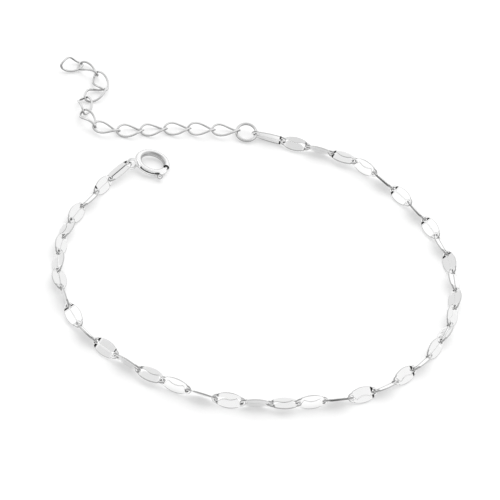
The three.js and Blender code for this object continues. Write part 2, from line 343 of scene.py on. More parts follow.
@dataclass(frozen=True)
class FacingShade:
    """Painted shade by facing: what faces one side keeps light, and what faces away is painted darker.

    Attributes:
        side: The direction that the painted light comes from.
        shade_below: How much a surface faces that side, as a cosine, where the painted light begins.
        light_above: How much it faces that side where the painted light is full.
    """

    side: tuple[float, float, float]
    shade_below: float
    light_above: float

    def share(self, piece: Piece) -> Array:
        """Works out how much of the painted light a piece's surface gets, from the way that it faces.

        Args:
            piece: The piece.

        Returns:
            The share of the painted light that each vertex has got, from 0 to 1.
        """
        normals = np.zeros(len(piece.data.vertices) * 3)
        piece.data.vertices.foreach_get("normal", normals)
        return smooth_step(self.shade_below, self.light_above, normals.reshape(-1, 3) @ np.array(self.side))

    def lift(self, piece: Piece, strength: Array) -> None:
        """Lightens the painted shade on a piece's rims where they face the side; painted black reflections
        stay.

        Args:
            piece: A piece that stores its painted shade.
            strength: How much of the painted shade a full painted light takes off, at each vertex.
        """
        stored = piece.data.attributes[SHADE_ATTRIBUTE].data
        painted_shade = np.zeros(len(stored))
        stored.foreach_get("value", painted_shade)
        lifted = painted_shade * (1.0 - strength * self.share(piece))
        stored.foreach_set("value", np.where(painted_shade > 1.0, painted_shade, lifted).astype(np.float32))

    def paint_flanks(self, piece: Piece, strength: float, least_shade: Array | float = 0.0) -> None:
        """Stores painted shade on a piece's flanks, which face away from the side, and a least shade at each
        vertex.

        Args:
            piece: The piece.
            strength: The painted shade where a surface gets none of the painted light.
            least_shade: The least painted shade at each vertex.
        """
        painted_shade = np.maximum(strength * (1.0 - self.share(piece)), least_shade)
        stored = piece.data.attributes.new(SHADE_ATTRIBUTE, "FLOAT", "POINT").data
        stored.foreach_set("value", painted_shade.astype(np.float32))


@dataclass(frozen=True)
class WireFinish:
    """How a piece of wire or tube is finished.

    Attributes:
        silver: Its silver.
        facing_shade: Its painted shade by facing.
        flank_shade: The painted shade on the flanks that face away from its side.
    """

    silver: Silver
    facing_shade: FacingShade
    flank_shade: float

    def make(
        self,
        node: str,
        name: str,
        points: Array,
        faces: Array,
        body: Body = Body.BRACELET,
        least_shade: Array | float = 0.0,
    ) -> Piece:
        """Makes a piece with this finish, and puts it into the frame.

        Args:
            node: The frame's node that it stands for.
            name: The piece's name.
            points: The vertices, in millimetres.
            faces: Four vertex numbers for each face.
            body: The body that it rides on.
            least_shade: The least painted shade at each vertex.

        Returns:
            The piece.
        """
        piece = make_piece(name, points, faces)
        # painted shade: darkens the flanks that face away from the finish's side
        self.facing_shade.paint_flanks(piece, self.flank_shade, least_shade)
        dress(piece, self.silver, node, body)
        return piece


# Painted shade on the flanks that face away: the chain's wire is lit from above, and the clasp's pieces from
# the camera's direction, as painted dark outlines.
CHAIN_WIRE = WireFinish(WIRE_SILVER, FacingShade((0.0, -0.1, 0.995), 0.2, 0.7), 1.3)
CLASP_TUBE = WireFinish(CASE_SILVER, FacingShade((0.0, -0.75, 0.66), 0.2, 0.68), 0.8)
CLASP_EYE = replace(CLASP_TUBE, silver=WIRE_SILVER)
CLASP_KNOB = WireFinish(WIRE_SILVER, FacingShade((0.0, -0.75, 0.66), 0.5, 0.9), 1.3)


@dataclass(frozen=True)
class Placement:
    """Where a piece's own axes lie: rows of axes are its X, Y and Z directions."""

    origin: Array
    axes: Array

    def place(self, points: Array) -> Array:
        """Carries points from the piece's own axes to the frame."""
        return self.origin + points @ self.axes

    @classmethod
    def along(cls, origin: Array, direction: Array, roll: float) -> "Placement":
        """Lays X along a direction, Y level, and rolls both about X.

        Args:
            origin: The origin of the piece's own axes.
            direction: Where X points.
            roll: The turn about X, in degrees.

        Returns:
            The placement.
        """
        ahead = unit(direction)
        side = unit(np.cross((0.0, 0.0, 1.0), ahead))
        up = np.cross(ahead, side)
        cos, sin = math.cos(math.radians(roll)), math.sin(math.radians(roll))
        return cls(origin, np.array([ahead, cos * side + sin * up, cos * up - sin * side]))

    @classmethod
    def of_node(cls, node: Piece, ahead: Array) -> "Placement":
        """Finds a symmetric node's own axes from its corners: longest along X, thinnest along Z.

        Args:
            node: The frame's node.
            ahead: A point that X points towards.

        Returns:
            The placement of the node's middle and axes, with Z upwards.
        """
        corners = np.unique(node_points(node).round(CORNER_DIGITS), axis=0)
        origin = corners.mean(axis=0)
        _, spread = np.linalg.eigh(np.cov((corners - origin).T))
        thin, along = spread[:, 0], spread[:, 2]
        along = along * np.sign(along @ (ahead - origin))
        thin = thin * np.sign(thin[2])
        return cls(origin, np.array([along, np.cross(thin, along), thin]))


def node_points(node: Piece) -> Array:
    """Reads the vertices of one of the frame's nodes.

    Args:
        node: The node.

    Returns:
        The vertices, in millimetres.
    """
    flat = np.zeros(len(node.data.vertices) * 3)
    node.data.vertices.foreach_get("co", flat)
    return flat.reshape(-1, 3) / MM


def node_middle(node: Piece) -> Array:
    """The middle of a frame node's box, in millimetres."""
    points = node_points(node)
    return (points.min(axis=0) + points.max(axis=0)) / 2.0


def full_turn(steps: int) -> Array:
    """The angles of evenly spaced steps once round, in radians."""
    return np.arange(steps) / steps * 2.0 * np.pi


def section_turn(sides: int) -> Array:
    """The angle of each point round a section: evenly spaced, and half a step from the axes."""
    return (np.arange(sides) + 0.5) / sides * 2.0 * np.pi


def sweep(
    centres: Array,
    out: Array,
    across: Array,
    half_width: Array,
    half_thickness: Array,
    squareness: Array,
    sides: int,
) -> Array:
    """Points of a closed ring: sections stand along a loop, and each is a rounded oblong.

    A section's point at angle a lies at centre + out * half width * c + across * half thickness * s, where c
    and s are the cosine and sine of a, each raised in size to the power of the squareness: 1 gives an
    ellipse, and towards 0 a flat plate with tight rims.

    Args:
        centres: The middle of each section.
        out: The direction out of the loop at each section.
        across: The direction across the loop at each section.
        half_width: Half the section's size along out.
        half_thickness: Half the section's size along across.
        squareness: The power at each section.
        sides: The number of points round a section.

    Returns:
        The points, section after section.
    """
    angle = section_turn(sides)
    power = squareness[:, None]
    wide = np.sign(np.cos(angle)) * np.abs(np.cos(angle)) ** power * half_width[:, None]
    thick = np.sign(np.sin(angle)) * np.abs(np.sin(angle)) ** power * half_thickness[:, None]
    points = centres[:, None] + out[:, None] * wide[..., None] + across[:, None] * thick[..., None]
    return points.reshape(-1, 3)


def round_wire(centres: Array, out: Array, across: Array, wire: float, sides: int) -> Array:
    """Points of a closed ring of round wire: the sweep of a circle, with half the wire as both half sizes."""
    radius = np.full(len(centres), wire / 2.0)
    return sweep(centres, out, across, radius, radius, np.ones(len(centres)), sides)


def wire_ring(radius: float, wire: float, tilt: float, steps: int, sides: int) -> Array:
    """Points of a ring of round wire about the origin.

    Args:
        radius: The radius of the ring's centre line.
        wire: The wire's diameter.
        tilt: The ring's turn about X out of the XY plane, in degrees.
        steps: The number of sections.
        sides: The number of points round a section.

    Returns:
        The points, section after section.
    """
    turn = full_turn(steps)
    cos, sin = math.cos(math.radians(tilt)), math.sin(math.radians(tilt))
    out = np.stack([np.cos(turn), np.sin(turn) * cos, np.sin(turn) * sin], 1)
    return round_wire(out * radius, out, np.tile((0.0, -sin, cos), (steps, 1)), wire, sides)


# ---------------------------------------------------------------- the loop of mirror links


class Leaf(Enum):
    """Where a link's slit runs: along the middle, or round a leaf on its far or near side."""

    NONE = 0
    FAR = 1
    NEAR = -1


@dataclass(frozen=True)
class Settling:
    """How one link differs from its node and from the other links.

    Attributes:
        link: The link's number, from 0 at the jump ring.
        roll: How far it has turned about its length, in degrees.
        twist: How far its far end has turned further, and its near end less.
        plate: The thickness of its plates, in mm.
        rim: How much more painted shade its outer rims have than those of the other links.
        open_end: The end towards which its slit widens: 1 far, -1 near, 0 for neither.
    """

    link: int
    roll: float = 0.0
    twist: float = 0.0
    plate: float = 0.18
    rim: float = 0.0
    open_end: int = 0


# rim adds painted shade to a link's outlines, or takes some away.
SETTLINGS = (
    Settling(0, -11.0, -11.0),
    Settling(1, open_end=-1),
    Settling(2, -6.0, rim=-0.4),
    Settling(4, -6.0),
    Settling(5, 1.0, 2.0, plate=0.28, rim=0.5),
    Settling(7, 8.0, 3.0, plate=0.26, rim=0.2),
    Settling(9, 12.0, -3.0),
    Settling(11, 9.0, -2.0),
    Settling(13, 10.0),
    Settling(20, 2.0, plate=0.28, rim=0.4),
    Settling(22, open_end=-1),
    Settling(23, 10.0, rim=-0.2),
    Settling(24, open_end=-1),
    Settling(25, 14.0, plate=0.22),
    Settling(26, 6.0),
    Settling(27, 8.0, open_end=1),
    Settling(28, 8.0),
    Settling(30, -4.0, plate=0.28),
    Settling(34, 8.0),
)


@dataclass(frozen=True)
class PaintedDarkReflection:
    """Where a link's shoulders are painted black: a painted reflection of the dark opening for the camera.

    Attributes:
        link: The link's number, from 0 at the jump ring.
        end: 1 for the shoulders at its far end, -1 for those at its near end.
        legs: The legs: 1 for the far one, -1 for the near one.
        reach: Where a black spot begins and ends past the plate's end, along the link in mm.
    """

    link: int
    end: int = 1
    legs: tuple[int, ...] = (1, -1)
    reach: tuple[float, float] = (0.02, 0.26)


# Painted black reflections on the shoulders, mostly at far ends that face the camera, in place of the dark
# opening they mirror.
PAINTED_DARK_REFLECTIONS = (
    PaintedDarkReflection(0, end=-1),
    PaintedDarkReflection(3),
    PaintedDarkReflection(6),
    PaintedDarkReflection(8),
    PaintedDarkReflection(10),
    PaintedDarkReflection(17),
    PaintedDarkReflection(19),
    PaintedDarkReflection(29),
    PaintedDarkReflection(29, end=-1, legs=(1,), reach=(0.1, 0.26)),
    PaintedDarkReflection(31, reach=(0.04, 0.2)),
    PaintedDarkReflection(39, end=-1, legs=(1,), reach=(0.15, 0.42)),
    PaintedDarkReflection(40, legs=(1,), reach=(0.16, 0.76)),
)


@dataclass(frozen=True)
class MirrorLink:
    """A pressed link: a wire loop whose legs are stamped flat into two mirror plates.

    The plates are thinner than the wire, and end at its shoulders in short ramps up to it; at one end the
    plates dip into a groove first. One plate lies a little higher than the other.
    Where a link has a leaf, the slit between the plates runs from shoulder to shoulder on one side, and
    bulges towards the middle. A slit can widen early towards one end.
    """

    length: float = 4.52
    wire: float = 0.34
    eye_radius: float = 0.46
    width: float = 2.12
    shoulder_width: float = 1.46
    plate_half: float = 1.5
    plate_thickness: float = 0.18
    plate_squareness: float = 0.2
    plate_step: float = 0.04
    groove: float = 0.1
    groove_length: float = 0.3
    dark_reflection_fade: float = 0.06
    open_from: float = 0.3
    # painted shade on the legs at an open end
    open_end_shade_from: tuple[float, float] = (1.3, 1.5)
    open_end_shade: float = 1.25
    fold: float = 1.5
    slit: float = 0.05
    slit_half: float = 1.0
    ramp_length: float = 0.28
    ramp_overlap: float = 0.08
    leaf_middle: float = 0.12
    leaf_end: float = 0.42
    # painted shade: rims, the slit's edges, a far face and the eye wires' sides are painted darker, standing
    # in for the dark reflections along outlines and joints
    rim_marks: tuple[float, float] = (0.82, 0.92)
    slit_rim: float = 0.35
    far_rim: float = 1.0
    near_rim: float = 1.0
    far_face: float = 0.0
    eye_marks: tuple[float, float] = (0.4, 0.85)
    end_crowding: float = 0.55
    rounding_power: int = 6
    leg_steps: int = 64
    bow_steps: int = 16
    sides: int = 24

    def bow_start(self) -> float:
        """Where the legs end and the eyes begin, from the link's middle."""
        return self.length / 2.0 - self.wire / 2.0 - self.eye_radius

    def leg_places(self) -> Array:
        """Spreads a leg's sections along the link: part evenly, part by a sine that crowds them at its ends.

        Returns:
            The places of the sections.
        """
        spread = np.linspace(-1.0, 1.0, self.leg_steps)
        crowded = np.sin(spread * np.pi / 2.0)
        return self.bow_start() * (self.end_crowding * crowded + (1.0 - self.end_crowding) * spread)

    def leg_outline(self, x: Array, leaf: int, open_end: int) -> tuple[Array, Array]:
        """The outer and inner edge of one leg, as distances from the link's middle line.

        The outer edge is a parabola from the shoulder width at the plate's ends to the full width at the
        middle. The slit's line is a parabola too, from the leaf's distance at the middle to its distance at
        the ends. The inner edge keeps half the slit from it, opens to the eye's radius past the slit, and
        past the plate both edges blend into the wire.

        Args:
            x: The places along the link.
            leaf: 1 for a leg that is the leaf, -1 for the leg beside one, 0 for none.
            open_end: 1 where the slit widens early towards the +X end, -1 towards the other, or 0.

        Returns:
            The outer edge and the inner edge at each place.
        """
        eye_outer = self.eye_radius + self.wire / 2.0
        eye_inner = self.eye_radius - self.wire / 2.0
        share = np.clip(np.abs(x) / self.plate_half, 0.0, 1.0)
        outer = (self.shoulder_width + (self.width - self.shoulder_width) * (1.0 - share**2)) / 2.0
        along = np.clip(np.abs(x) / self.slit_half, 0.0, 1.0) ** 2
        line = leaf * (self.leaf_middle + (self.leaf_end - self.leaf_middle) * along)
        widens_from = np.where(x * open_end > 0.0, self.open_from, self.slit_half)
        opening = smooth_step(widens_from, self.bow_start(), np.abs(x))
        inner = (line + self.slit / 2.0) * (1.0 - opening) + eye_inner * opening
        past = smooth_step(self.plate_half - self.ramp_length / 2.0, self.bow_start(), np.abs(x))
        return outer + (eye_outer - outer) * past, inner + (eye_inner - inner) * past

    def bow_turns(self) -> Array:
        """The angle of each section round an eye, from the link's length."""
        return np.linspace(-np.pi / 2.0, np.pi / 2.0, self.bow_steps + 2)[1:-1]

    def ramp_start(self) -> float:
        """Where a plate ends and its ramp begins, from the link's middle."""
        return self.plate_half + self.ramp_overlap - self.ramp_length

    def points(self, leaf: int, high: int, far_end: int, open_end: int) -> Array:
        """The link's surface in its own axes, swept once round the loop.

        Args:
            leaf: 1 for a leaf on the +Y side, -1 for one on the other side, 0 for none.
            high: 1 where the +Y plate lies higher, -1 where the other does.
            far_end: 1 where the grooved end is the +X end, -1 where it is the other.
            open_end: The end towards which the slit widens early, or 0.

        Returns:
            The points, section after section.
        """
        turn = self.bow_turns()
        parts = []
        for side in (1, -1):
            ring_x = side * (self.bow_start() + self.eye_radius * np.cos(turn))
            ring_y = side * self.eye_radius * np.sin(turn)
            parts.append(self.round_part(ring_x, ring_y, side * np.cos(turn), side * np.sin(turn)))
            x = -side * self.leg_places()
            outline = self.leg_outline(x, side * leaf, open_end)
            parts.append(self.leg_part(x, side, outline, high, far_end))
        centres, out, across, half_width, half_thickness, squareness = (
            np.concatenate(part) for part in zip(*parts)
        )
        return sweep(centres, out, across, half_width, half_thickness, squareness, self.sides)

    def round_part(self, x: Array, y: Array, out_x: Array, out_y: Array) -> tuple[Array, ...]:
        """The sections of an eye, of round wire: centres, directions, half sizes and squareness.

        Args:
            x: The middle of each section along the link.
            y: The middle of each section across the link.
            out_x: The share of the direction out of the loop that runs along the link.
            out_y: The share that runs across it.

        Returns:
            The columns that the sweep needs.
        """
        level = np.zeros_like(x)
        radius = np.full_like(x, self.wire / 2.0)
        out = np.stack([out_x, out_y, level], 1)
        across = np.stack([level, level, level + 1.0], 1)
        return np.stack([x, y, level], 1), out, across, radius, radius, level + 1.0

    def leg_part(
        self, x: Array, side: int, outline: tuple[Array, Array], high: int, far_end: int
    ) -> tuple[Array, ...]:
        """The sections of a leg: centres, directions, half sizes and squareness.

        Thickness, height and fold go over the ramp evenly from the plate's to the wire's, and the section
        turns round late on it, by a high power of the share. The plate thins smoothly into its groove first.

        Args:
            x: The places along the link.
            side: 1 for the leg on +Y, -1 for the other.
            outline: The leg's outer and inner edges.
            high: The side of the higher plate.
            far_end: The grooved end.

        Returns:
            The columns that the sweep needs.
        """
        level = np.zeros_like(x)
        outer, inner = outline
        start = self.ramp_start()
        ramp = np.clip((np.abs(x) - start) / self.ramp_length, 0.0, 1.0)
        dip = smooth_step(start - self.groove_length, start, x * far_end)
        plate = self.plate_thickness + (self.groove - self.plate_thickness) * dip
        thickness = (plate + (self.wire - plate) * ramp) / 2.0
        squareness = self.plate_squareness + (1.0 - self.plate_squareness) * ramp**self.rounding_power
        height = side * high * self.plate_step * (1.0 - ramp)
        tilt = np.radians(self.fold) * high * (1.0 - ramp)
        centres = np.stack([x, side * (outer + inner) / 2.0, height], 1)
        out = np.stack([level, side * np.cos(tilt), side * np.sin(tilt)], 1)
        across = np.stack([level, -np.sin(tilt), np.cos(tilt)], 1)
        return centres, out, across, (outer - inner) / 2.0, thickness, squareness

    def wire_share(self, x: Array) -> Array:
        """How much of a leg is wire rather than plate, at places along the link."""
        return smooth_step(self.ramp_start(), self.bow_start(), np.abs(x))

    def leg_shade(self, x: Array, rim: float, face: float, open_end: int) -> Array:
        """The painted shade of the points of a leg, before any painted black reflections.

        A rim is the last part of a plate's half width, painted darker as shade: the share of the half width
        is the cosine's size to the power of the squareness, and passes from face to rim between the two
        marks. The side at the slit has only a part of it. The legs turn to wire with painted shade on its
        sides; at an open end they are painted darker still.

        Args:
            x: The places along the link, as a column.
            rim: The painted shade of the outer rim.
            face: The painted shade of the face.
            open_end: The end towards which the slit widens early, or 0.

        Returns:
            The painted shade, a row for each place.
        """
        cos = np.cos(section_turn(self.sides))
        # painted shade: rims painted darker towards their edges
        edge = smooth_step(*self.rim_marks, np.abs(cos) ** self.plate_squareness)
        edge = face + (np.where(cos > 0.0, rim, self.slit_rim) - face) * edge
        wire = self.wire_share(x)
        shaded = edge * (1.0 - wire) + self.wire_side_shade() * wire
        # painted shade: an open end's legs are painted darker still
        return np.maximum(shaded, self.open_end_shade * smooth_step(*self.open_end_shade_from, x * open_end))

    def wire_side_shade(self) -> Array:
        """The painted shade round a section of the wire: shade on its sides, and clear crests between them.
        """
        # painted shade on the wire's sides
        return smooth_step(*self.eye_marks, np.abs(np.cos(section_turn(self.sides))))

    def painted_shade(self, far: int, far_end: int, open_end: int, spots: list[PaintedDarkReflection]) -> Array:
        """The painted shade of each point: 0 none, 1 a rim painted darker, 2 a painted black reflection.

        Painted black reflections lie on the shoulders, where a link has any, and each spot fades at its ends.

        Args:
            far: 1 where the far leg is the one on the +Y side, -1 where it is the other.
            far_end: The far end, as a sign of X.
            open_end: The end towards which the slit widens early, or 0.
            spots: Where the link's shoulders are painted black, as painted reflections.

        Returns:
            The painted shade, section after section.
        """
        bow = np.tile(self.wire_side_shade(), (self.bow_steps, 1))
        turn = self.bow_turns()
        parts, places, legs = [], [], []
        for side in (1, -1):
            x = -side * self.leg_places()
            is_far = side == far
            rim, face = (self.far_rim, self.far_face) if is_far else (self.near_rim, 0.0)
            parts += [bow, self.leg_shade(x[:, None], rim, face, open_end)]
            places += [side * (self.bow_start() + self.eye_radius * np.cos(turn)), x]
            legs += [side * far * np.sign(turn), np.full(len(x), side * far)]
        shaded = np.concatenate(parts)
        # painted reflection: black spots on the shoulders, in place of the dark opening for the camera
        for spot in spots:
            place = np.concatenate(places) * far_end * spot.end - self.ramp_start()
            half = (spot.reach[1] - spot.reach[0]) / 2.0
            away = np.abs(place - spot.reach[0] - half)
            black = 1.0 - smooth_step(half - self.dark_reflection_fade, half + self.dark_reflection_fade, away)
            shaded = shaded + (2.0 - shaded) * (black * np.isin(np.concatenate(legs), spot.legs))[:, None]
        return shaded.ravel()

    def plate_share(self) -> Array:
        """How much each point belongs to a plate rather than to the wire.

        Returns:
            The share of plate, section after section.
        """
        eye = np.zeros(self.bow_steps)
        leg = 1.0 - self.wire_share(self.leg_places())
        return np.repeat(np.concatenate([eye, leg, eye, leg]), self.sides)

    def settled(self, points: Array, settling: Settling) -> Array:
        """Turns points about the link's length, by an angle that changes evenly along it.

        Args:
            points: The points, in the link's own axes.
            settling: How far the link has turned.

        Returns:
            The turned points.
        """
        share = points[:, 0] / (self.length / 2.0)
        angle = np.radians(settling.roll + settling.twist * share)
        cos, sin = np.cos(angle), np.sin(angle)
        across = points[:, 1] * cos - points[:, 2] * sin
        up = points[:, 1] * sin + points[:, 2] * cos
        return np.stack([points[:, 0], across, up], 1)

    def build(
        self, name: str, placement: Placement, leaf: Leaf, settling: Settling, spots: list[PaintedDarkReflection]
    ) -> Piece:
        """Makes the link where its node lies, with its own plates, rims, slit, turn, painted shade and
        reflections.

        Args:
            name: The piece's name.
            placement: The link's own axes in the frame.
            leaf: Where the link's leaf is.
            settling: How the link differs from the others.
            spots: Where its shoulders are painted black, as painted reflections.

        Returns:
            The link.
        """
        far = 1 if placement.axes[1, 1] > 0.0 else -1
        high = -far if leaf is Leaf.NEAR else far
        far_end = 1 if placement.axes[0, 1] > 0.0 else -1
        open_end = settling.open_end * far_end
        points = self.settled(self.points(far * leaf.value, high, far_end, open_end), settling)
        faces = closed_grid(2 * (self.leg_steps + self.bow_steps), self.sides)
        return make_piece(name, placement.place(points), faces, self.painted_shade(far, far_end, open_end, spots))


CONNECTOR_LINK = MirrorLink(length=5.15, width=1.62, shoulder_width=1.4, plate_half=1.8, leg_steps=72)


@dataclass
class LinkLoop:
    """The mirror links and the two connector links between the jump ring and the clasp."""

    mirror: MirrorLink = MirrorLink()
    # painted shade: the connectors' rims, slit edges and far face carry their own painted shade
    jump_connector: MirrorLink = replace(
        CONNECTOR_LINK,
        slit_half=1.3,
        leaf_middle=0.1,
        rim_marks=(0.7, 0.85),
        slit_rim=0.2,
        far_rim=1.9,
        near_rim=0.7,
    )
    clasp_connector: MirrorLink = replace(
        CONNECTOR_LINK, slit_half=1.6, slit_rim=1.3, far_rim=0.6, near_rim=0.5, far_face=0.22
    )
    links: int = 39
    far_leaves: tuple[int, ...] = (1, 3, 4, 13, 21, 22, 24, 26, 27, 36)
    near_leaves: tuple[int, ...] = (17, 19)
    # painted light: plates whose rims face up lose some of their painted shade; rims that face down stay
    # darker, standing in for the shaded floor they reflect
    facing_shade: FacingShade = FacingShade((0.0, 0.0, 1.0), 0.3, 0.9)
    lightening_strength: float = 0.5

    def build(self, nodes: dict[str, Piece]) -> list[Piece]:
        """Makes every link of the loop, and dresses it in mirror silver.

        Args:
            nodes: The frame's nodes by name.

        Returns:
            The links in their order.
        """
        shapes = {"connector_link_jump": self.jump_connector}
        shapes |= {f"mirror_link_{i + 1:02d}": self.mirror for i in range(self.links)}
        shapes |= {"connector_link_clasp": self.clasp_connector}
        names = [*shapes, "clasp_case"]
        pieces = []
        for number, (name, following) in enumerate(zip(names[:-1], names[1:])):
            placement = Placement.of_node(nodes[name], node_middle(nodes[following]))
            leaf = Leaf.FAR if number in self.far_leaves else Leaf.NONE
            leaf = Leaf.NEAR if number in self.near_leaves else leaf
            settling = next((lay for lay in SETTLINGS if lay.link == number), Settling(number))
            spots = [spot for spot in PAINTED_DARK_REFLECTIONS if spot.link == number]
            # painted shade: each link's rim shade is added to both rims
            shape = replace(
                shapes[name],
                plate_thickness=settling.plate,
                far_rim=shapes[name].far_rim + settling.rim,
                near_rim=shapes[name].near_rim + settling.rim,
            )
            piece = shape.build(f"{name}_silver", placement, leaf, settling, spots)
            # painted light: lightens the painted rim shade where the plates face up
            self.facing_shade.lift(piece, self.lightening_strength * shape.plate_share())
            dress(piece, MIRROR_SILVER, name)
            pieces.append(piece)
        return pieces


# ---------------------------------------------------------------- jump ring and extension chain


@dataclass
class JumpRing:
    """The soldered wire ring that carries the first connector link and the extension chain."""

    diameter: float = 3.37
    wire: float = 0.44
    steps: int = 96
    sides: int = 24

    def radius(self) -> float:
        """The radius of the ring's centre line."""
        return (self.diameter - self.wire) / 2.0

    def build(self, nodes: dict[str, Piece]) -> list[Piece]:
        """Makes the ring where its node lies.

        Args:
            nodes: The frame's nodes by name.

        Returns:
            The ring, alone in a list.
        """
        node = nodes["jump_ring"]
        placement = Placement.of_node(node, node_middle(node) + (1.0, 0.0, 0.0))
        points = wire_ring(self.radius(), self.wire, 0.0, self.steps, self.sides)
        faces = closed_grid(self.steps, self.sides)
        return [CHAIN_WIRE.make("jump_ring", "jump_ring_silver", placement.place(points), faces)]


@dataclass(frozen=True)
class Lay:
    """How one link of the extension chain lies: heading in plan and slope, in degrees, and its roll."""

    heading: float
    slope: float
    roll: float

    def direction(self) -> Array:
        """The direction of the link, from its heading and slope.

        Returns:
            The unit vector along it.
        """
        heading, slope = math.radians(self.heading), math.radians(self.slope)
        level = math.cos(slope)
        return np.array([math.cos(heading) * level, math.sin(heading) * level, math.sin(slope)])


EXTENSION_LAYS = (
    Lay(199, 3, 2),
    Lay(188, -4, -4),
    Lay(198, -1, -4),
    Lay(201, -2, 2),
    Lay(202, 2, -6),
    Lay(185, 5, 4),
    Lay(127, -1, 17),
    Lay(93, -5, 23),
    Lay(51, 2, 2),
    Lay(119, 2, -17),
    Lay(141, -8, 16),
    Lay(223, 17, -38),
)


@dataclass
class ExtensionChain:
    """The chain of twisted curb links that hangs from the jump ring."""

    pitch: float = 3.54
    wire: float = 0.32
    width: float = 2.42
    twist: float = 99.0
    play: float = 0.06
    links_per_stretch: int = 3
    steps: int = 96
    sides: int = 16

    def link_points(self, start: float, end: float) -> Array:
        """A curb link's surface, along X from its first hooking point.

        The centre line is an oval: x is the middle plus half the length times the cosine of t, and the side
        is half the width times its sine. Each point is then rolled about X by minus half the twist times the
        cosine of t. Round sections stand square to that line.

        Args:
            start: How far the centre line reaches past the first hook.
            end: How far it reaches past the second.

        Returns:
            The points, section after section.
        """
        turn = full_turn(self.steps)
        roll = -math.radians(self.twist) / 2.0 * np.cos(turn)
        side = (self.width - self.wire) / 2.0 * np.sin(turn)
        middle, half = (self.pitch + end - start) / 2.0, (self.pitch + end + start) / 2.0
        line = np.stack([middle + half * np.cos(turn), side * np.cos(roll), side * np.sin(roll)], 1)
        ahead = unit(np.roll(line, -1, axis=0) - np.roll(line, 1, axis=0))
        away = line - (middle, 0.0, 0.0)
        out = unit(away - ahead * (away * ahead).sum(1, keepdims=True))
        return round_wire(line, out, np.cross(out, ahead), self.wire, self.sides)

    def build(self, nodes: dict[str, Piece], ring: JumpRing) -> list[Piece]:
        """Makes the links one after the other from the jump ring's far side.

        Args:
            nodes: The frame's nodes by name.
            ring: The jump ring.

        Returns:
            The links in their order.
        """
        hook = node_middle(nodes["jump_ring"]) - (ring.radius(), 0.0, 0.0)
        loose = (self.wire + self.play) / 2.0
        pieces = []
        for number, lay in enumerate(EXTENSION_LAYS):
            first = number - number % self.links_per_stretch + 1
            stretch = f"extension_links_{first}_to_{first + self.links_per_stretch - 1}"
            start = (ring.wire + self.wire) / 2.0 + self.play if number == 0 else loose
            placement = Placement.along(hook, lay.direction(), lay.roll)
            points = placement.place(self.link_points(start, loose))
            faces = closed_grid(self.steps, self.sides)
            name = f"extension_link_{number + 1:02d}_silver"
            pieces.append(CHAIN_WIRE.make(stretch, name, points, faces))
            hook = hook + lay.direction() * self.pitch
        return pieces


# ---------------------------------------------------------------- spring ring clasp


